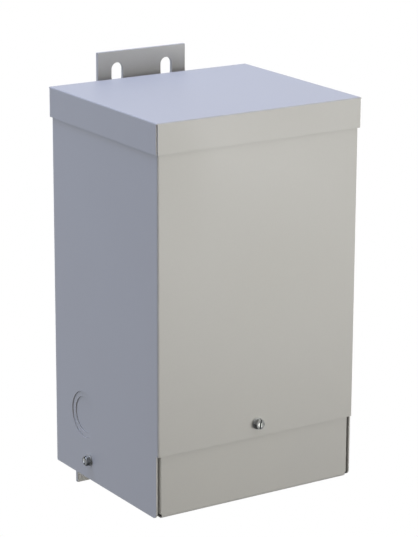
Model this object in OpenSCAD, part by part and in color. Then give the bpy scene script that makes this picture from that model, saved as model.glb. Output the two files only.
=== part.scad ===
// Wall mounted encapsulated transformer in a folded sheet steel enclosure.
// Millimetres, +Z up, front towards -Y. The origin lies on the wall face,
// midway between the two hanging slots of the upper bracket.

/* [Enclosure] */
// Outside width of the folded cover
body_w = 137.8; // [120:0.1:170]
// Outside depth of the folded cover, front to back
body_d = 120.3; // [100:0.1:150]
// Height of the cover's side walls under the lid
body_h = 234.3; // [210:0.1:300]
// Thickness of the enclosure's steel sheet
sheet_t = 0.9; // [0.8:0.1:1.6]
// Inside radius of the cover's folds
fold_in = 0.4; // [0.2:0.1:1.4]
// Distance from the wall to the back of the cover
standoff = 12.3; // [11:0.1:20]
// Width of the cover's two return flanges at the back
return_w = 14; // [10:0.5:18]
// Clearance between the back panel's edges and the cover's folds
panel_gap = 0.3; // [0.1:0.1:1]

/* [Lid] */
// Height of the lid, top sheet included
lid_h = 18.2; // [14:0.2:24]
// Clearance between the lid's flanges and the cover
lid_gap = 0.2; // [0.1:0.05:0.5]
// Metal left behind the open seam in each corner of the lid
seam_web = 0.15; // [0.1:0.05:0.6]

/* [Front panel and bottom tray] */
// Height of the front panel's lower edge above the foot of the side walls
lower_h = 38.5; // [30:0.5:60]
// Distance of the side walls' lower front edges behind the front fold
wall_setback = 0.6; // [0.2:0.1:2]
// Radius of the side walls' lower front corners
wall_corner_r = 3.5; // [1:0.5:8]
// Height of the tray's front flange behind the front panel
tray_lap = 14; // [12:0.5:18]
// Clearance between the front panel and the tray's front flange
lap_gap = 0.6; // [0.1:0.1:0.9]
// Inside radius of the tray's folds
tray_fold_in = 0.8; // [0.4:0.1:2.4]
// Height of the tray's underside above the foot of the side walls
tray_rise = 0; // [0:0.5:3]
// Clearance between the tray's side flanges and the side walls
tray_gap = 0.3; // [0.1:0.1:0.8]
// Open gap between the tray's front flange and the side walls
front_gap = 1.3; // [0.6:0.1:2]
// Depth of the folded side edges of the tray's front flange
front_return = 5; // [3:0.5:10]
// Relief cut between the folds at each corner of the tray
tray_relief = 1; // [0.5:0.1:3]
// Height of the tray's rear flange
tray_rear_h = 16; // [8:1:24]

/* [Conduit knockouts] */
// Diameter of the outer knockout
ko_outer_d = 28.6; // [26:0.1:34]
// Width of the ring between the outer and the inner knockout
ko_ring_w = 3.2; // [2:0.1:6]
// Depth by which each knockout is pressed inwards
ko_step = 0.6; // [0.3:0.1:0.8]
// Sheared gap round each knockout
ko_gap = 0.05; // [0.05:0.05:0.3]
// Distance of the knockouts' centre from the back of the cover
ko_back = 34.9; // [26:0.1:60]
// Height of the knockouts' centre above the foot of the side walls
ko_up = 39.7; // [36:0.1:70]
// Clearance between the knockouts and the tray's side flanges
ko_clear = 3.6; // [1:0.1:6]

/* [Cover screws] */
// Diameter of the screw shank
screw_d = 3.5; // [3:0.1:4.5]
// Length of the shank under the head
screw_l = 10; // [7:0.5:14]
// Clearance round the shank in the sheets
screw_gap = 0.2; // [0.1:0.05:0.5]
// Width of the hexagon across its flats
hex_af = 5.5; // [5:0.05:6.5]
// Height of the hexagon
hex_h = 2.6; // [2:0.1:4]
// Diameter of the washer under the hexagon
washer_d = 7; // [6.8:0.1:9]
// Thickness of the washer
washer_t = 0.8; // [0.5:0.1:1.2]
// Width of the driver slot
driver_w = 1; // [0.8:0.1:1.6]
// Depth of the driver slot
driver_deep = 1.2; // [0.8:0.1:1.8]
// Height of the front screw above the front panel's lower edge
front_screw_up = 8.3; // [5:0.1:9]
// Distance of the side screws from the back of the cover
side_screw_back = 40.8; // [25:0.2:80]
// Height of the side screws above the foot of the side walls
side_screw_up = 12.3; // [8:0.1:14]

/* [Wall brackets] */
// Thickness of the brackets' steel strip
bracket_t = 2.2; // [1.5:0.1:2.5]
// Inside radius of the brackets' folds
bracket_fold_in = 2; // [1:0.1:2.4]
// Width of the upper bracket
hanger_w = 62.2; // [54:0.2:80]
// Height of the upper bracket's top edge above the lid
hanger_rise = 14.8; // [12:0.1:20]
// Distance of the foot bracket's sides from the cover's return flanges
foot_side_gap = 6.5; // [2:0.5:15]
// Length of the foot bracket below the side walls
foot_drop = 22.8; // [18:0.1:30]
// Width of the mounting slots
slot_w = 8; // [5.5:0.1:9]
// Length of the mounting slots
slot_l = 13; // [10:0.5:16]
// Distance from the end of a slot to the bracket's edge
slot_edge = 7.05; // [5:0.05:10]
// Distance between the centres of a bracket's two slots
slot_pitch = 34.9; // [24:0.1:40]
// Clearance between the lid's rear flange and the upper bracket's step
hanger_clear = 4; // [2:0.5:8]
// Clearance between the foot slots and the foot bracket's step
foot_clear = 9; // [6:0.5:14]
// Length of the brackets' straight legs on the back panel
weld_leg = 22; // [14:1:30]

/* [Potted block] */
// Clearance between the potted block and the sheet walls
pot_gap = 0.5; // [0.3:0.1:2]
// Space between the potted block and the lid
pot_head = 5; // [2:0.5:12]
// Space between the potted block and the tray's front flange or the knockouts
pot_clear = 8; // [4:0.5:20]

/* [Hidden] */
$fn = 64;

// Overshoot of cutting shapes past the face that they cut
cut = 1;
paint = "#bcbcba";
zinc = "#c9c9c6";
resin = "#3b3a38";

// Sheet folds
fold_r = fold_in + sheet_t;
tray_fold_r = tray_fold_in + sheet_t;
bracket_fold_r = bracket_fold_in + bracket_t;

// Heights
hanger_top = slot_l / 2 + slot_edge;
lid_top = hanger_top - hanger_rise;
cover_top = lid_top - sheet_t;
cover_foot = cover_top - body_h;
front_foot = cover_foot + lower_h;
tray_foot = cover_foot + tray_rise;
tray_top = front_foot + tray_lap;
foot_bottom = cover_foot - foot_drop;
foot_slot_z = foot_bottom + slot_edge + slot_l / 2;
front_screw_z = front_foot + front_screw_up;
side_screw_z = cover_foot + side_screw_up;
ko_z = cover_foot + ko_up;
ko_top = ko_z + ko_outer_d / 2;
ko_inner_d = ko_outer_d - 2 * ko_ring_w;

// Depths, from the wall face towards the front
cover_back = -standoff;
cover_front = cover_back - body_d;
cover_mid = (cover_back + cover_front) / 2;
panel_back = cover_back - sheet_t;
panel_front = panel_back - sheet_t;
tray_front = cover_front + sheet_t + lap_gap;
wall_front = cover_front + fold_r + wall_setback;
side_screw_y = cover_back - side_screw_back;
ko_y = cover_back - ko_back;

// Widths
half_w = body_w / 2;
inner_half = half_w - sheet_t;
panel_w = body_w - 2 * (fold_r + panel_gap);
tray_w = 2 * (inner_half - tray_gap);
tray_front_w = 2 * (inner_half - front_gap);
foot_w = body_w - 2 * (return_w + foot_side_gap);
lid_over = lid_gap + sheet_t;
lid_w = body_w + 2 * lid_over;
lid_d = body_d + 2 * lid_over;
tray_side_h = ko_up - ko_outer_d / 2 - ko_clear - tray_rise;

// Extrudes a profile drawn in X and Z by a length along Y, centred
module along_y(length) {
  rotate([90, 0, 0]) linear_extrude(length, center = true) children();
}

// Extrudes a profile drawn in Y and Z by a length along X, centred
module along_x(length) {
  rotate([90, 0, 90]) linear_extrude(length, center = true) children();
}

// Quarter ring of a folded sheet, in the quadrant of the two given signs
module fold_2d(inner, t, signs) {
  flip_x = signs.x < 0 ? 1 : 0;
  flip_y = signs.y < 0 ? 1 : 0;
  mirror([flip_x, 0]) mirror([0, flip_y]) intersection() {
    difference() {
      circle(inner + t);
      circle(inner);
    }
    square(inner + t);
  }
}

// Rectangle from a corner to the opposite corner
module span_2d(from, to) {
  translate(from) square(to - from);
}

// One side of the cover in plan: wall, front fold, rear fold and return flange
module cover_side_2d() {
  fold_x = half_w - fold_r;
  span_2d([inner_half, cover_front + fold_r], [half_w, cover_back - fold_r]);
  translate([fold_x, cover_front + fold_r]) fold_2d(fold_in, sheet_t, [1, -1]);
  translate([fold_x, cover_back - fold_r]) fold_2d(fold_in, sheet_t, [1, 1]);
  span_2d([half_w - return_w, panel_back], [fold_x, cover_back]);
}

// Waste of a rounded lower corner of the side walls, in Y and Z
module wall_corner_2d() {
  difference() {
    translate([-cut, -cut]) square(wall_corner_r + cut);
    translate([wall_corner_r, wall_corner_r]) circle(wall_corner_r);
  }
}

// Left side, front and right side of the enclosure, folded from one sheet
module cover() {
  front_half = half_w - fold_r;
  open_deep = wall_front - cover_front + cut;
  open_h = front_foot - cover_foot + cut;
  color(paint) difference() {
    translate([0, 0, cover_foot]) linear_extrude(body_h) {
      span_2d([-front_half, cover_front], [front_half, cover_front + sheet_t]);
      cover_side_2d();
      mirror([1, 0]) cover_side_2d();
    }
    translate([-half_w - cut, cover_front - cut, cover_foot - cut])
      cube([body_w + 2 * cut, open_deep, open_h]);
    translate([0, wall_front, cover_foot]) along_x(body_w + 2 * cut) wall_corner_2d();
    translate([0, ko_y, ko_z]) rotate([0, 90, 0])
      cylinder(d = ko_outer_d, h = body_w + 2 * cut, center = true);
    translate([0, side_screw_y, side_screw_z]) rotate([0, 90, 0])
      cylinder(d = screw_d + 2 * screw_gap, h = body_w + 2 * cut, center = true);
    translate([0, cover_front, front_screw_z]) rotate([90, 0, 0])
      cylinder(d = screw_d + 2 * screw_gap, h = 2 * (sheet_t + cut), center = true);
  }
}

// Upright rectangle, foot at zero, with its two top corners rounded
module lid_side_2d(width, height, radius) {
  span_2d([-width / 2, 0], [width / 2, height - radius]);
  span_2d([radius - width / 2, height - radius], [width / 2 - radius, height]);
  for (side = [-1, 1])
    translate([side * (width / 2 - radius), height - radius])
      intersection() {
        circle(radius);
        translate([min(side, 0) * radius, 0]) square(radius);
      }
}

// Four flanged lid with tight top folds and an open seam in each corner
module lid() {
  seam = sheet_t - seam_web;
  color(paint) translate([0, cover_mid, lid_top - lid_h]) difference() {
    intersection() {
      along_y(lid_d) lid_side_2d(lid_w, lid_h, sheet_t);
      along_x(lid_w) lid_side_2d(lid_d, lid_h, sheet_t);
    }
    translate([0, 0, lid_h - sheet_t - lid_h / 2])
      cube([lid_w - 2 * sheet_t, lid_d - 2 * sheet_t, lid_h], center = true);
    for (x = [-1, 1], y = [-1, 1])
      translate([x * lid_w / 2, y * lid_d / 2, -cut])
        linear_extrude(lid_h - sheet_t + cut) square(2 * seam, center = true);
  }
}

// Flat back sheet, held behind the cover's return flanges
module back_panel() {
  color(paint) translate([-panel_w / 2, panel_front, cover_foot])
    cube([panel_w, sheet_t, body_h]);
}

// End strip of the tray in Y and Z: floor, a fold at the origin's side and a flange
module tray_end_2d(floor_d, flange_h) {
  span_2d([tray_fold_r, 0], [floor_d, sheet_t]);
  translate([tray_fold_r, tray_fold_r]) fold_2d(tray_fold_in, sheet_t, [-1, -1]);
  span_2d([0, tray_fold_r], [sheet_t, flange_h]);
}

// Front flange of the tray in plan, its side edges folded back
module tray_front_2d() {
  fold_x = tray_front_w / 2 - fold_r;
  fold_y = tray_front + fold_r;
  span_2d([-fold_x, tray_front], [fold_x, tray_front + sheet_t]);
  for (side = [0, 1]) mirror([side, 0]) {
    translate([fold_x, fold_y]) fold_2d(fold_in, sheet_t, [1, -1]);
    span_2d([tray_front_w / 2 - sheet_t, fold_y], [tray_front_w / 2, fold_y + front_return]);
  }
}

// Middle of the tray in X and Z: floor, two folds and two side flanges
module tray_middle_2d() {
  floor_half = tray_w / 2 - tray_fold_r;
  span_2d([-floor_half, 0], [floor_half, sheet_t]);
  for (side = [0, 1]) mirror([side, 0]) {
    translate([floor_half, tray_fold_r]) fold_2d(tray_fold_in, sheet_t, [1, -1]);
    span_2d([tray_w / 2 - sheet_t, tray_fold_r], [tray_w / 2, tray_side_h]);
  }
}

// Bottom tray that closes the wiring space, its front flange behind the front panel
module bottom_tray() {
  end = max(tray_fold_r, fold_r + front_return) + tray_relief;
  middle_d = panel_front - tray_front - 2 * end;
  flange_foot = tray_fold_r + tray_relief;
  strip_w = tray_front_w - 2 * fold_r;
  color(paint) difference() {
    translate([0, 0, tray_foot]) {
      translate([0, 0, flange_foot])
        linear_extrude(tray_top - tray_foot - flange_foot) tray_front_2d();
      translate([0, tray_front, 0]) along_x(strip_w) tray_end_2d(end, flange_foot + tray_relief);
      translate([0, tray_front + end + middle_d / 2, 0]) along_y(middle_d) tray_middle_2d();
      translate([0, panel_front, 0]) along_x(strip_w)
        mirror([1, 0]) tray_end_2d(end, tray_rear_h);
    }
    translate([0, tray_front, front_screw_z]) rotate([90, 0, 0])
      cylinder(d = screw_d + 2 * screw_gap, h = 2 * (sheet_t + cut), center = true);
    translate([0, side_screw_y, side_screw_z]) rotate([0, 90, 0])
      cylinder(d = screw_d + 2 * screw_gap, h = body_w, center = true);
  }
}

// Stepped bracket in Y and Z: leg on the wall, step at zero, leg on the back panel
module bracket_2d(wall_leg) {
  span_2d([-bracket_t, bracket_fold_r], [0, wall_leg]);
  translate([-bracket_fold_r, bracket_fold_r])
    fold_2d(bracket_fold_in, bracket_t, [1, -1]);
  span_2d([panel_back + bracket_fold_r, 0], [-bracket_fold_r, bracket_t]);
  translate([panel_back + bracket_fold_r, bracket_t - bracket_fold_r])
    fold_2d(bracket_fold_in, bracket_t, [-1, 1]);
  span_2d([panel_back, bracket_t - bracket_fold_r - weld_leg],
    [panel_back + bracket_t, bracket_t - bracket_fold_r]);
}

// Two upright mounting slots through a bracket, centred on a height
module bracket_slots(height) {
  for (side = [-1, 1])
    translate([side * slot_pitch / 2, 0, height]) rotate([90, 0, 0])
      linear_extrude(2 * (bracket_t + cut), center = true) {
        square([slot_w, slot_l - slot_w], center = true);
        for (end = [-1, 1])
          translate([0, end * (slot_l - slot_w) / 2]) circle(d = slot_w);
      }
}

// Upper bracket: stands above the lid and steps in to the back panel below it
module hanger_bracket() {
  step = lid_top - lid_h - hanger_clear - bracket_t;
  color(paint) difference() {
    translate([0, 0, step]) along_x(hanger_w) bracket_2d(hanger_top - step);
    bracket_slots(0);
  }
}

// Foot bracket: the upper one turned over, wider, with its slots below the cover
module foot_bracket() {
  step = foot_slot_z + slot_l / 2 + foot_clear + bracket_t;
  color(paint) difference() {
    translate([0, 0, step]) mirror([0, 0, 1]) along_x(foot_w)
      bracket_2d(step - foot_bottom);
    bracket_slots(foot_slot_z);
  }
}

// Core and coil potted in resin, against the back panel
module potted_block() {
  block_front = cover_front + sheet_t + pot_gap;
  block_half = inner_half - pot_gap;
  block_foot = max(tray_top, ko_top) + pot_clear;
  color(resin) translate([-block_half, block_front, block_foot])
    cube([2 * block_half, panel_front - block_front, cover_top - pot_head - block_foot]);
}

// Slotted hexagon washer head screw, its washer seated at zero and its head up
module cover_screw() {
  tip_l = screw_d / 2;
  color(zinc) difference() {
    union() {
      cylinder(d = washer_d, h = washer_t);
      translate([0, 0, washer_t]) cylinder(d = hex_af / cos(30), h = hex_h, $fn = 6);
      translate([0, 0, tip_l - screw_l]) cylinder(d = screw_d, h = screw_l - tip_l);
      translate([0, 0, -screw_l]) cylinder(d1 = screw_d / 2, d2 = screw_d, h = tip_l);
    }
    translate([0, 0, washer_t + hex_h])
      cube([2 * hex_af, driver_w, 2 * driver_deep], center = true);
  }
}

module front_screw() {
  translate([0, cover_front, front_screw_z]) rotate([90, 0, 0]) cover_screw();
}

module left_screw() {
  translate([-half_w, side_screw_y, side_screw_z]) rotate([0, -90, 0]) cover_screw();
}

module right_screw() {
  translate([half_w, side_screw_y, side_screw_z]) rotate([0, 90, 0]) cover_screw();
}

// Knockout slug of the left wall, its outer face a depth below the wall's
module knockout(outer_d, inner_d, deep) {
  color(paint) translate([deep - half_w, ko_y, ko_z]) rotate([0, 90, 0]) difference() {
    cylinder(d = outer_d - 2 * ko_gap, h = sheet_t);
    if (inner_d > 0)
      translate([0, 0, -cut]) cylinder(d = inner_d, h = sheet_t + 2 * cut);
  }
}

module left_knockout_ring() {
  knockout(ko_outer_d, ko_inner_d, ko_step);
}

module left_knockout_disc() {
  knockout(ko_inner_d, 0, 2 * ko_step);
}

module right_knockout_ring() {
  mirror([1, 0, 0]) left_knockout_ring();
}

module right_knockout_disc() {
  mirror([1, 0, 0]) left_knockout_disc();
}

lid();
cover();
back_panel();
bottom_tray();
hanger_bracket();
foot_bracket();
potted_block();
front_screw();
left_screw();
right_screw();
left_knockout_ring();
left_knockout_disc();
right_knockout_ring();
right_knockout_disc();
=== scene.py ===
"""Finishes the wall mounted transformer: painted sheet, screws, weld marks, light and camera."""

import math

import bmesh
import bpy
from mathutils import Euler, Matrix, Vector


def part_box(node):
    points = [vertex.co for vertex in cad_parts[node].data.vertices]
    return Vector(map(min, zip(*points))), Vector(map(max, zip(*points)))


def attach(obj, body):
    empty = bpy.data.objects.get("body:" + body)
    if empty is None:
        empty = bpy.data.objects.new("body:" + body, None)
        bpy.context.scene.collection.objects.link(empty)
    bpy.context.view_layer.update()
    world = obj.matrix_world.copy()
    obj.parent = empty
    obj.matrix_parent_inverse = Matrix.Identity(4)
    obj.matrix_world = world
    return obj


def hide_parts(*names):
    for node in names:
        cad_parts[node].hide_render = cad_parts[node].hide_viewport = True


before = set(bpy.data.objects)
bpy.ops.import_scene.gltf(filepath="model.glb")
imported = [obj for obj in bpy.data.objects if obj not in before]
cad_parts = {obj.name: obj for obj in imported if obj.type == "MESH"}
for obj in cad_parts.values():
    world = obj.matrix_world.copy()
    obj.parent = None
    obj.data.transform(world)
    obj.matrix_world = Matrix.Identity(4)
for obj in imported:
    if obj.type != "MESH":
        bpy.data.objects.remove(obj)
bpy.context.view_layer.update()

# Sizes of the pieces are in millimetres, those of the floor, lamps and camera in metres
MM = 0.001
ROOT = "root"


# Colours and nodes

WHITE = (1.0, 1.0, 1.0, 1.0)
# Sockets of a colour Mix node, whose names repeat for each type of data
MIX_SHARE, MIX_FIRST, MIX_SECOND = 0, 6, 7
MIX_COLOUR = 2


def srgb(code):
    """Linear RGBA of an sRGB hex colour."""
    channels = [int(code[i:i + 2], 16) / 255 for i in (1, 3, 5)]
    linear = [c / 12.92 if c <= 0.04045 else ((c + 0.055) / 1.055) ** 2.4 for c in channels]
    return (*linear, 1.0)


def per_mm(size):
    """Texture scale at which one cell of a pattern is this many millimetres wide."""
    return 1 / (size * MM)


def add(tree, kind, settings=None, inputs=None):
    """Adds a node, sets its properties, and sets or links its inputs."""
    made = tree.nodes.new(kind)
    for name, value in (settings or {}).items():
        setattr(made, name, value)
    for key, value in (inputs or {}).items():
        if isinstance(value, bpy.types.NodeSocket):
            tree.links.new(value, made.inputs[key])
        else:
            made.inputs[key].default_value = value
    return made


def new_material(name):
    """An empty node material with its output node."""
    material = bpy.data.materials.new(name)
    material.use_nodes = True
    material.node_tree.nodes.clear()
    output = add(material.node_tree, "ShaderNodeOutputMaterial")
    return material, material.node_tree, output


# Materials

# Middle range of a noise pattern, which seldom gets nearer to zero or one
NOISE_RANGE = (0.3, 0.7)

PAINT_LIGHT = "#bbbbb8"
PAINT_DARK = "#b6b6b4"
PAINT_CLOUD_MM = 60.0
PAINT_CLOUD_DETAIL = 3.0
PAINT_SPECK_MM = 0.8
PAINT_SPECK_SHARE = 0.4
PAINT_TONE_RANGE = (0.45, 0.95)
PEEL_MM = 2.4
PEEL_DETAIL = 1.5
PEEL_HEIGHT_MM = 0.012
PAINT_ROUGH = (0.42, 0.5)
PAINT_IOR = 1.5


# Powder melts into one even film: to the eye a satin grey with hardly a cloud or a speck in it,
# and a skin that is faintly dimpled where light glances along it
def powder_coat():
    """Polyester powder baked on steel sheet."""
    material, tree, output = new_material("powder_coated_steel")
    place = add(tree, "ShaderNodeTexCoord").outputs["Object"]
    clouds = add(tree, "ShaderNodeTexNoise", None,
                 {"Vector": place, "Scale": per_mm(PAINT_CLOUD_MM), "Detail": PAINT_CLOUD_DETAIL})
    specks = add(tree, "ShaderNodeTexNoise", None,
                 {"Vector": place, "Scale": per_mm(PAINT_SPECK_MM), "Detail": 1.0})
    blend = add(tree, "ShaderNodeMath", {"operation": "MULTIPLY_ADD"},
                {0: specks.outputs["Fac"], 1: PAINT_SPECK_SHARE, 2: clouds.outputs["Fac"]})
    tone = add(tree, "ShaderNodeMapRange", None,
               {"Value": blend.outputs[0], "From Min": PAINT_TONE_RANGE[0],
                "From Max": PAINT_TONE_RANGE[1]})
    colour = add(tree, "ShaderNodeMix", {"data_type": "RGBA"},
                 {MIX_SHARE: tone.outputs[0], MIX_FIRST: srgb(PAINT_DARK),
                  MIX_SECOND: srgb(PAINT_LIGHT)})
    rough = add(tree, "ShaderNodeMapRange", None,
                {"Value": clouds.outputs["Fac"],
                 "From Min": NOISE_RANGE[0], "From Max": NOISE_RANGE[1],
                 "To Min": PAINT_ROUGH[0], "To Max": PAINT_ROUGH[1]})
    peel = add(tree, "ShaderNodeTexNoise", None,
               {"Vector": place, "Scale": per_mm(PEEL_MM), "Detail": PEEL_DETAIL})
    bump = add(tree, "ShaderNodeBump", None,
               {"Height": peel.outputs["Fac"], "Distance": PEEL_HEIGHT_MM * MM})
    shader = add(tree, "ShaderNodeBsdfPrincipled", None,
                 {"Base Color": colour.outputs[MIX_COLOUR], "Roughness": rough.outputs[0],
                  "Normal": bump.outputs[0], "IOR": PAINT_IOR})
    tree.links.new(shader.outputs[0], output.inputs[0])
    return material


# Colours of the painted highlight and the painted shade on the screw heads
ZINC_HIGHLIGHT = "#e2e3df"
ZINC_SHADE = "#454749"
ZINC_PATCH = 0.3
ZINC_PAINTED_SHEEN = 0.5
ZINC_PAINTED_SHEEN_RANGE = (0.1, 0.9)
ZINC_CLOUD_MM = 1.6
ZINC_CLOUD_DETAIL = 3.0
ZINC_GRAIN_MM = 0.25
ZINC_GRAIN_HEIGHT_MM = 0.003
ZINC_ROUGH = (0.4, 0.52)
PAINTED_LIGHT = "painted_light"


# A thin plate, varied in patches: to the eye a dark head with a bright, soft spot on the crown. The
# dark sides and crown rim are painted shade and painted dark reflection, the spot is a painted
# highlight that leans to one side, and what faces up has a painted sheen
def zinc_plate():
    """Zinc plate on a steel screw, tumbled in a barrel."""
    material, tree, output = new_material("zinc_plated_steel")
    place = add(tree, "ShaderNodeTexCoord").outputs["Object"]
    clouds = add(tree, "ShaderNodeTexNoise", None,
                 {"Vector": place, "Scale": per_mm(ZINC_CLOUD_MM), "Detail": ZINC_CLOUD_DETAIL})
    grain = add(tree, "ShaderNodeTexNoise", None,
                {"Vector": place, "Scale": per_mm(ZINC_GRAIN_MM), "Detail": 1.0})
    # Painted light carried on the mesh: painted shade on the head's sides and crown rim, a painted
    # highlight in the dish
    painted_light = add(tree, "ShaderNodeAttribute", {"attribute_name": PAINTED_LIGHT})
    patches_and_painted_light = add(tree, "ShaderNodeMath", {"operation": "MULTIPLY_ADD"},
                 {0: clouds.outputs["Fac"], 1: ZINC_PATCH, 2: painted_light.outputs["Fac"]})
    # Painted sheen: what faces up is painted paler
    facing = add(tree, "ShaderNodeSeparateXYZ", None,
                 {0: add(tree, "ShaderNodeNewGeometry").outputs["Normal"]})
    painted_sheen = add(tree, "ShaderNodeMapRange", None,
               {"Value": facing.outputs["Z"],
                "From Min": ZINC_PAINTED_SHEEN_RANGE[0], "From Max": ZINC_PAINTED_SHEEN_RANGE[1],
                "To Min": 0.0, "To Max": ZINC_PAINTED_SHEEN})
    pale = add(tree, "ShaderNodeMath", {"operation": "ADD", "use_clamp": True},
               {0: patches_and_painted_light.outputs[0], 1: painted_sheen.outputs[0]})
    colour = add(tree, "ShaderNodeMix", {"data_type": "RGBA"},
                 {MIX_SHARE: pale.outputs[0], MIX_FIRST: srgb(ZINC_SHADE),
                  MIX_SECOND: srgb(ZINC_HIGHLIGHT)})
    rough = add(tree, "ShaderNodeMapRange", None,
                {"Value": clouds.outputs["Fac"],
                 "From Min": NOISE_RANGE[0], "From Max": NOISE_RANGE[1],
                 "To Min": ZINC_ROUGH[0], "To Max": ZINC_ROUGH[1]})
    bump = add(tree, "ShaderNodeBump", None,
               {"Height": grain.outputs["Fac"], "Distance": ZINC_GRAIN_HEIGHT_MM * MM})
    shader = add(tree, "ShaderNodeBsdfPrincipled", None,
                 {"Base Color": colour.outputs[MIX_COLOUR], "Metallic": 1.0,
                  "Roughness": rough.outputs[0], "Normal": bump.outputs[0]})
    tree.links.new(shader.outputs[0], output.inputs[0])
    return material


RESIN_DARK = "#262523"
RESIN_LIGHT = "#45423d"
RESIN_ROUGH = 0.7
SAND_MM = 0.9
SAND_HEIGHT_MM = 0.1


# Resin is poured over sand: to the eye a dark, matt mass with paler grains near its surface
def potting_resin():
    """Polyester resin filled with silica sand."""
    material, tree, output = new_material("sand_filled_resin")
    place = add(tree, "ShaderNodeTexCoord").outputs["Object"]
    sand = add(tree, "ShaderNodeTexVoronoi", None, {"Vector": place, "Scale": per_mm(SAND_MM)})
    colour = add(tree, "ShaderNodeMix", {"data_type": "RGBA"},
                 {MIX_SHARE: sand.outputs["Distance"], MIX_FIRST: srgb(RESIN_LIGHT),
                  MIX_SECOND: srgb(RESIN_DARK)})
    bump = add(tree, "ShaderNodeBump", None,
               {"Height": sand.outputs["Distance"], "Distance": SAND_HEIGHT_MM * MM})
    shader = add(tree, "ShaderNodeBsdfPrincipled", None,
                 {"Base Color": colour.outputs[MIX_COLOUR], "Roughness": RESIN_ROUGH,
                  "Normal": bump.outputs[0]})
    tree.links.new(shader.outputs[0], output.inputs[0])
    return material


PAINT = powder_coat()
ZINC = zinc_plate()
RESIN = potting_resin()


# Shared mesh steps

def link(name, mesh):
    """A new object at the origin that holds a mesh."""
    made = bpy.data.objects.new(name, mesh)
    bpy.context.scene.collection.objects.link(made)
    return made


def settle(source, name):
    """Turns an object with modifiers into a plain mesh object and removes the source."""
    bpy.context.view_layer.update()
    graph = bpy.context.evaluated_depsgraph_get()
    mesh = bpy.data.meshes.new_from_object(source.evaluated_get(graph), depsgraph=graph)
    old = source.data
    bpy.data.objects.remove(source)
    if old.users == 0:
        bpy.data.meshes.remove(old)
    mesh.name = name
    return link(name, mesh)


def dress(piece, slot, *nodes):
    """Sets a finished piece under the root body and hides the nodes that it stands for; the slot is
    not used.
    """
    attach(piece, ROOT)
    if nodes:
        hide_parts(*nodes)


# Painted sheet, its cut edges rounded by the coat

# Radius that the coat gives the edges of each node
SHEET_PIECES = {
    "lid": 0.18, "cover": 0.18, "back_panel": 0.18, "bottom_tray": 0.18,
    "hanger_bracket": 0.3, "foot_bracket": 0.3,
    "left_knockout_ring": 0.08, "left_knockout_disc": 0.08,
    "right_knockout_ring": 0.08, "right_knockout_disc": 0.08,
}
EDGE_ANGLE = math.radians(35)
EDGE_STEPS = 3
FLAT_ANGLE = math.radians(0.5)
MERGE_MM = 0.002


def painted_sheet(node, edge_mm):
    """A copy of a sheet node with rounded edges, painted all over."""
    mesh = bpy.data.meshes.new(node + "_painted")
    build = bmesh.new()
    build.from_mesh(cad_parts[node].data)
    bmesh.ops.remove_doubles(build, verts=build.verts, dist=MERGE_MM * MM)
    bmesh.ops.dissolve_limit(build, angle_limit=FLAT_ANGLE, verts=build.verts, edges=build.edges)
    for face in build.faces:
        face.smooth = True
    build.to_mesh(mesh)
    build.free()
    mesh.materials.clear()
    mesh.materials.append(PAINT)
    source = link(node + "_source", mesh)
    bevel = source.modifiers.new("edge", "BEVEL")
    bevel.width = edge_mm * MM
    bevel.segments = EDGE_STEPS
    bevel.limit_method = "ANGLE"
    bevel.angle_limit = EDGE_ANGLE
    bevel.harden_normals = True
    weighted = source.modifiers.new("flat", "WEIGHTED_NORMAL")
    weighted.keep_sharp = True
    dress(settle(source, node + "_painted"), "powder_coat", node)


for sheet_node, sheet_edge in SHEET_PIECES.items():
    painted_sheet(sheet_node, sheet_edge)

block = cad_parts["potted_block"]
block.data.materials.clear()
block.data.materials.append(RESIN)


# Cover screws

SCREW_NODES = ("front_screw", "left_screw", "right_screw")
SCREW_AXES = {"front_screw": (0, -1, 0), "left_screw": (-1, 0, 0), "right_screw": (1, 0, 0)}
SCREW_TURNS = {"front_screw": 80.0, "left_screw": 85.0, "right_screw": 65.0}
SCREW_AROUND = 72
SCREW_SMOOTH = math.radians(25)
WASHER_R = 3.5
WASHER_T = 0.8
WASHER_LIP = 0.45
WASHER_EDGE = 0.12
HEX_FLAT = 5.5 / 2
HEX_H = 2.6
HEX_CROWN = 0.94
HEX_BEVEL = math.tan(math.radians(30))
# Rim and floor of the dish, as shares of the crown
DISH_R = (0.68, 0.52)
DISH_DEEP = 0.3
DRIVER_L = 11.0
DRIVER_W = 1.0
DRIVER_DEEP = 1.2
SHANK_R = 1.75
SHANK_L = 10.0
THREAD_PITCH = 1.3
THREAD_H = 0.45
THREAD_STEP = 0.2
TIP_L = 1.8
TIP_SHARE = 0.45
# Share of bright metal on each part of the head, before the patches: painted shade on the sides and
# the crown rim, a painted highlight in the dish
SIDE_PAINTED_SHADE = -0.08
CROWN_PAINTED_SHADE = -0.04
DISH_PAINTED_HIGHLIGHT = 0.42
DISH_LEAN = 0.6


def hex_radius(turn):
    """Distance from the axis to a hexagon's side, at an angle round the axis."""
    sixth = math.pi / 3
    off = (turn + sixth / 2) % sixth - sixth / 2
    return HEX_FLAT / math.cos(off)


def thread_radius(turn, height):
    """Radius of the threaded shank at an angle and at a height below the washer."""
    phase = (height / THREAD_PITCH + turn / math.tau) % 1
    ridge = 1 - abs(2 * phase - 1)
    taper = min(1.0, (height + SHANK_L) / TIP_L)
    return (SHANK_R - THREAD_H + THREAD_H * ridge) * (TIP_SHARE + (1 - TIP_SHARE) * taper)


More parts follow.
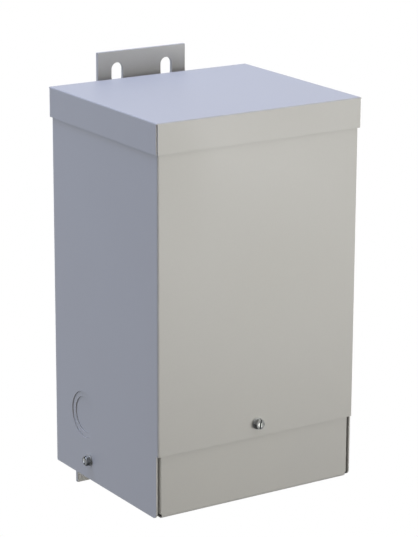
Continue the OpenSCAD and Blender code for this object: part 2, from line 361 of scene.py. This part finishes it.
def screw_rings():
    """Rings of the screw from its tip to the middle of its head: radius, height and painted light
    share.
    """
    rings = []
    for step in range(round(SHANK_L / THREAD_STEP)):
        height = -SHANK_L + step * THREAD_STEP
        rings.append(lambda turn, z=height: (thread_radius(turn, z), z, SIDE_PAINTED_SHADE))
    rings.append(lambda turn: (SHANK_R, 0.0, SIDE_PAINTED_SHADE))
    rings.append(lambda turn: (WASHER_R - WASHER_EDGE, 0.0, SIDE_PAINTED_SHADE))
    rings.append(lambda turn: (WASHER_R, WASHER_EDGE, SIDE_PAINTED_SHADE))
    rings.append(lambda turn: (WASHER_R, WASHER_LIP, SIDE_PAINTED_SHADE))
    rings.append(lambda turn: (WASHER_R - WASHER_EDGE, WASHER_LIP + WASHER_EDGE, SIDE_PAINTED_SHADE))
    rings.append(lambda turn: (hex_radius(turn), WASHER_T, SIDE_PAINTED_SHADE))
    crown = HEX_FLAT * HEX_CROWN
    top = WASHER_T + HEX_H
    rings.append(lambda turn: (hex_radius(turn), top - (hex_radius(turn) - crown) * HEX_BEVEL,
                               SIDE_PAINTED_SHADE))
    rings.append(lambda turn: (crown, top, CROWN_PAINTED_SHADE))
    rings.append(lambda turn: (DISH_R[0] * crown, top, CROWN_PAINTED_SHADE))
    # Painted highlight in the dish, brighter to one side
    rings.append(lambda turn: (DISH_R[1] * crown, top - DISH_DEEP,
                               DISH_PAINTED_HIGHLIGHT * (1 + DISH_LEAN * math.sin(turn))))
    return rings


def screw_template():
    """One slotted hexagon washer head screw, its washer seated at zero and its head up."""
    build = bmesh.new()
    # Share of painted light at each corner: painted shade on the sides, a painted highlight in the
    # dish
    painted_light_layer = build.verts.layers.float.new(PAINTED_LIGHT)
    loops = []
    for ring in screw_rings():
        loop = []
        for step in range(SCREW_AROUND):
            turn = math.tau * step / SCREW_AROUND
            radius, height, painted_light = ring(turn)
            place = (radius * math.cos(turn) * MM, radius * math.sin(turn) * MM, height * MM)
            corner = build.verts.new(place)
            corner[painted_light_layer] = painted_light
            loop.append(corner)
        loops.append(loop)
    for low, high in zip(loops, loops[1:]):
        for step in range(SCREW_AROUND):
            after = (step + 1) % SCREW_AROUND
            build.faces.new((low[step], low[after], high[after], high[step]))
    build.faces.new(reversed(loops[0]))
    build.faces.new(loops[-1])
    bmesh.ops.recalc_face_normals(build, faces=build.faces)
    mesh = bpy.data.meshes.new("screw_body")
    build.to_mesh(mesh)
    build.free()
    body = link("screw_body", mesh)

    cutter_mesh = bpy.data.meshes.new("driver_slot")
    build = bmesh.new()
    bmesh.ops.create_cube(build, size=1.0)
    size = Vector((DRIVER_L, DRIVER_W, 2 * DRIVER_DEEP)) * MM
    bmesh.ops.scale(build, vec=size, verts=build.verts)
    bmesh.ops.translate(build, vec=(0, 0, (WASHER_T + HEX_H) * MM), verts=build.verts)
    build.to_mesh(cutter_mesh)
    build.free()
    cutter = link("driver_slot", cutter_mesh)
    cut = body.modifiers.new("slot", "BOOLEAN")
    cut.operation = "DIFFERENCE"
    cut.solver = "EXACT"
    cut.object = cutter
    template = settle(body, "screw_template")
    bpy.data.objects.remove(cutter)
    return template


def screw_seats():
    """Points where the washers sit, with each screw's axis and turn as a rotation."""
    head = (WASHER_T + HEX_H) * MM
    spots = []
    for node in SCREW_NODES:
        low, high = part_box(node)
        axis = Vector(SCREW_AXES[node])
        middle = (low + high) / 2
        reach = (high - low).dot(Vector([abs(a) for a in axis])) / 2
        seat = middle + axis * (reach - head)
        turn = Matrix.Rotation(math.radians(SCREW_TURNS[node]), 3, "Z")
        spots.append((seat, (axis.to_track_quat("Z", "Y").to_matrix() @ turn).to_euler()))
    return spots


COPY_SIZE = 1.0


def scatter(name, template, spots, material):
    """Sets copies of a template at points with Geometry Nodes and returns one plain mesh."""
    tree = bpy.data.node_groups.new(name + "_nodes", "GeometryNodeTree")
    tree.interface.new_socket("Geometry", in_out="INPUT", socket_type="NodeSocketGeometry")
    shape = tree.interface.new_socket("Template", in_out="INPUT", socket_type="NodeSocketObject")
    size = tree.interface.new_socket("Size", in_out="INPUT", socket_type="NodeSocketFloat")
    tree.interface.new_socket("Geometry", in_out="OUTPUT", socket_type="NodeSocketGeometry")
    inputs = add(tree, "NodeGroupInput")
    info = add(tree, "GeometryNodeObjectInfo", None, {"Object": inputs.outputs["Template"]})
    turn = add(tree, "GeometryNodeInputNamedAttribute", {"data_type": "FLOAT_VECTOR"},
               {"Name": "turn"})
    rotation = add(tree, "FunctionNodeEulerToRotation", None, {0: turn.outputs[0]})
    copies = add(tree, "GeometryNodeInstanceOnPoints", None,
                 {"Points": inputs.outputs["Geometry"], "Instance": info.outputs["Geometry"],
                  "Rotation": rotation.outputs[0], "Scale": inputs.outputs["Size"]})
    real = add(tree, "GeometryNodeRealizeInstances", None, {0: copies.outputs[0]})
    painted = add(tree, "GeometryNodeSetMaterial", None, {0: real.outputs[0], "Material": material})
    add(tree, "NodeGroupOutput", None, {0: painted.outputs[0]})

    points = bpy.data.meshes.new(name + "_points")
    points.from_pydata([spot for spot, _ in spots], [], [])
    turns = points.attributes.new("turn", "FLOAT_VECTOR", "POINT")
    for index, (_, euler) in enumerate(spots):
        turns.data[index].vector = euler
    holder = link(name + "_points", points)
    modifier = holder.modifiers.new("copies", "NODES")
    modifier.node_group = tree
    modifier[shape.identifier] = template
    modifier[size.identifier] = COPY_SIZE
    piece = settle(holder, name)
    bpy.data.objects.remove(template)
    return piece


def shade_by_angle(piece, sharp):
    """Smooth shading that keeps edges sharper than an angle."""
    build = bmesh.new()
    build.from_mesh(piece.data)
    for face in build.faces:
        face.smooth = True
    for edge in build.edges:
        edge.smooth = edge.calc_face_angle(0.0) < sharp
    build.to_mesh(piece.data)
    build.free()


screws = scatter("cover_screws", screw_template(), screw_seats(), ZINC)
shade_by_angle(screws, SCREW_SMOOTH)
dress(screws, "zinc_plate", *SCREW_NODES)


# Spot weld marks on the back

WELD_R = 2.6
WELD_RIM = 0.12
WELD_AROUND = 28
WELD_SMOOTH = math.radians(60)
# Share of the radius and height of each ring, from the middle out
WELD_RINGS = ((0.0, 0.02), (0.45, 0.02), (0.72, 0.07), (0.84, WELD_RIM), (0.93, 0.09), (1.0, -0.02))
FLANGE_WELDS = 6
FLANGE_WELD_END = 26.0
FLANGE_INSET = 5.0
BRACKET_T = 2.2
BRACKET_WELDS = 4
BRACKET_WELD_EDGE = 9.0


def weld_template():
    """One spot weld: a shallow dish with a soft raised rim, its sheet at zero."""
    build = bmesh.new()
    centre = build.verts.new((0, 0, WELD_RINGS[0][1] * MM))
    before = None
    for share, height in WELD_RINGS[1:]:
        loop = []
        for step in range(WELD_AROUND):
            turn = math.tau * step / WELD_AROUND
            radius = share * WELD_R * MM
            place = (radius * math.cos(turn), radius * math.sin(turn), height * MM)
            loop.append(build.verts.new(place))
        for step in range(WELD_AROUND):
            after = (step + 1) % WELD_AROUND
            if before is None:
                build.faces.new((centre, loop[step], loop[after]))
            else:
                build.faces.new((before[step], loop[step], loop[after], before[after]))
        before = loop
    build.faces.new(reversed(before))
    mesh = bpy.data.meshes.new("weld_mark")
    build.to_mesh(mesh)
    build.free()
    return link("weld_mark", mesh)


def weld_spots():
    """Marks down the two return flanges and across the two brackets' legs."""
    facing = Vector((0, 1, 0)).to_track_quat("Z", "Y").to_euler()
    spots = []
    low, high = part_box("cover")
    foot, top = low.z + FLANGE_WELD_END * MM, high.z - FLANGE_WELD_END * MM
    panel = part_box("back_panel")[1]
    flange_x = panel.x - FLANGE_INSET * MM
    for step in range(FLANGE_WELDS):
        height = foot + (top - foot) * step / (FLANGE_WELDS - 1)
        for side in (-1, 1):
            spots.append(((side * flange_x, high.y, height), facing))
    leg_y = panel.y + BRACKET_T * MM
    for node, end in (("hanger_bracket", 0), ("foot_bracket", 1)):
        low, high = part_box(node)
        height = (low.z, high.z)[end] + (1 - 2 * end) * BRACKET_WELD_EDGE * MM
        left, right = low.x + BRACKET_WELD_EDGE * MM, high.x - BRACKET_WELD_EDGE * MM
        for step in range(BRACKET_WELDS):
            across = left + (right - left) * step / (BRACKET_WELDS - 1)
            spots.append(((across, leg_y, height), facing))
    return spots


welds = scatter("spot_weld_marks", weld_template(), weld_spots(), PAINT)
shade_by_angle(welds, WELD_SMOOTH)
dress(welds, "powder_coat")


# Stage, light and camera

FLOOR_Z = -1.5
FLOOR_HALF = 16.0
FLOOR_COLOUR = "#8a8885"
FLOOR_KEEP = 0.12
FLOOR_FADE = (0.8, 2.5)


def seen_directly(tree):
    """One where a camera, glossy or transmission ray looks, and zero for other rays."""
    path = add(tree, "ShaderNodeLightPath")
    mirror = add(tree, "ShaderNodeMath", {"operation": "MAXIMUM"},
                 {0: path.outputs["Is Glossy Ray"], 1: path.outputs["Is Transmission Ray"]})
    seen = add(tree, "ShaderNodeMath", {"operation": "MAXIMUM"},
               {0: path.outputs["Is Camera Ray"], 1: mirror.outputs[0]})
    return seen.outputs[0]


def floor():
    """Pale floor far below, white where it is seen, with a little of the shadow kept."""
    material, tree, output = new_material("pale_floor")
    matt = add(tree, "ShaderNodeBsdfDiffuse", None, {"Color": srgb(FLOOR_COLOUR)})
    white = add(tree, "ShaderNodeEmission", None, {"Color": WHITE, "Strength": 1.0})
    place = add(tree, "ShaderNodeTexCoord").outputs["Object"]
    away = add(tree, "ShaderNodeVectorMath", {"operation": "LENGTH"},
               {0: add(tree, "ShaderNodeVectorMath", {"operation": "MULTIPLY"},
                       {0: place, 1: (1, 1, 0)}).outputs[0]})
    whiten = add(tree, "ShaderNodeMapRange", {"interpolation_type": "SMOOTHSTEP"},
                 {"Value": away.outputs["Value"], "From Min": FLOOR_FADE[0],
                  "From Max": FLOOR_FADE[1], "To Min": 1 - FLOOR_KEEP, "To Max": 1.0})
    share = add(tree, "ShaderNodeMath", {"operation": "MULTIPLY"},
                {0: seen_directly(tree), 1: whiten.outputs[0]})
    mix = add(tree, "ShaderNodeMixShader", None,
              {0: share.outputs[0], 1: matt.outputs[0], 2: white.outputs[0]})
    tree.links.new(mix.outputs[0], output.inputs[0])
    mesh = bpy.data.meshes.new("floor")
    half = FLOOR_HALF
    corners = [(-half, -half, FLOOR_Z), (half, -half, FLOOR_Z),
               (half, half, FLOOR_Z), (-half, half, FLOOR_Z)]
    mesh.from_pydata(corners, [], [(0, 1, 2, 3)])
    mesh.materials.append(material)
    link("floor", mesh)


ROOM_COLOUR = "#fff4e5"
ROOM_STRENGTH = 0.28


def room_light():
    """Soft, slightly warm room light from all round, on a white background."""
    world = bpy.data.worlds.new("studio")
    world.use_nodes = True
    tree = world.node_tree
    tree.nodes.clear()
    room = add(tree, "ShaderNodeBackground", None,
               {"Color": srgb(ROOM_COLOUR), "Strength": ROOM_STRENGTH})
    white = add(tree, "ShaderNodeBackground", None, {"Color": WHITE, "Strength": 1.0})
    mix = add(tree, "ShaderNodeMixShader", None,
              {0: seen_directly(tree), 1: room.outputs[0], 2: white.outputs[0]})
    add(tree, "ShaderNodeOutputWorld", None, {0: mix.outputs[0]})
    bpy.context.scene.world = world


# Places and sizes in metres, spreads in degrees
SOFTBOXES = {
    "overhead": {"place": (-0.1, 0.3, 1.2), "aim": (0.0, -0.07, 0.0), "size": (1.2, 1.2),
                 "spread": 180.0, "colour": "#bbccff", "watts": 18.6},
    "front_high": {"place": (0.1, -0.6, 1.1), "aim": (0.0, -0.1, -0.05), "size": (0.7, 0.7),
                   "spread": 180.0, "colour": "#ffffff", "watts": 2.5},
    "front": {"place": (0.62, -1.24, -0.05), "aim": (0.0, -0.133, 0.0), "size": (0.6, 0.36),
              "spread": 46.0, "colour": "#feffff", "watts": 0.48},
    "front_low": {"place": (0.62, -1.24, -0.3), "aim": (0.0, -0.133, -0.06), "size": (0.6, 0.36),
                  "spread": 60.0, "colour": "#fffdf5", "watts": 0.59},
    "left": {"place": (-1.25, 0.35, 0.0), "aim": (-0.07, -0.07, -0.13), "size": (0.6, 0.6),
             "spread": 180.0, "colour": "#c7d8ff", "watts": 6.35},
}


def softboxes():
    """Large soft lamps: cool ones above and at the left, near neutral ones at the front right."""
    for name, facts in SOFTBOXES.items():
        lamp = bpy.data.lights.new(name, "AREA")
        lamp.shape = "RECTANGLE"
        lamp.size, lamp.size_y = facts["size"]
        lamp.color = srgb(facts["colour"])[:3]
        lamp.energy = facts["watts"]
        lamp.spread = math.radians(facts["spread"])
        holder = bpy.data.objects.new(name, lamp)
        holder.location = facts["place"]
        ahead = Vector(facts["aim"]) - holder.location
        holder.rotation_euler = ahead.to_track_quat("-Z", "Y").to_euler()
        holder.visible_camera = False
        bpy.context.scene.collection.objects.link(holder)


CAMERA_PLACE = (-0.72826, -1.20920, 0.27338)
CAMERA_AZIMUTH = math.radians(-32.796)
CAMERA_ELEVATION = math.radians(15.827)
CAMERA_ROLL = math.radians(0.245)
CAMERA_LENS = 156.634
CAMERA_SENSOR = 36.0


def camera():
    """The camera at the photograph's angle, with its slight roll and no shift."""
    data = bpy.data.cameras.new("camera")
    data.lens = CAMERA_LENS
    data.sensor_width = CAMERA_SENSOR
    holder = bpy.data.objects.new("camera", data)
    holder.location = CAMERA_PLACE
    level = Euler((math.pi / 2 - CAMERA_ELEVATION, 0, CAMERA_AZIMUTH)).to_matrix()
    holder.rotation_euler = (level @ Matrix.Rotation(CAMERA_ROLL, 3, "Z")).to_euler()
    bpy.context.scene.collection.objects.link(holder)
    bpy.context.scene.camera = holder


floor()
room_light()
softboxes()
camera()
bpy.context.scene.view_settings.view_transform = "Standard"
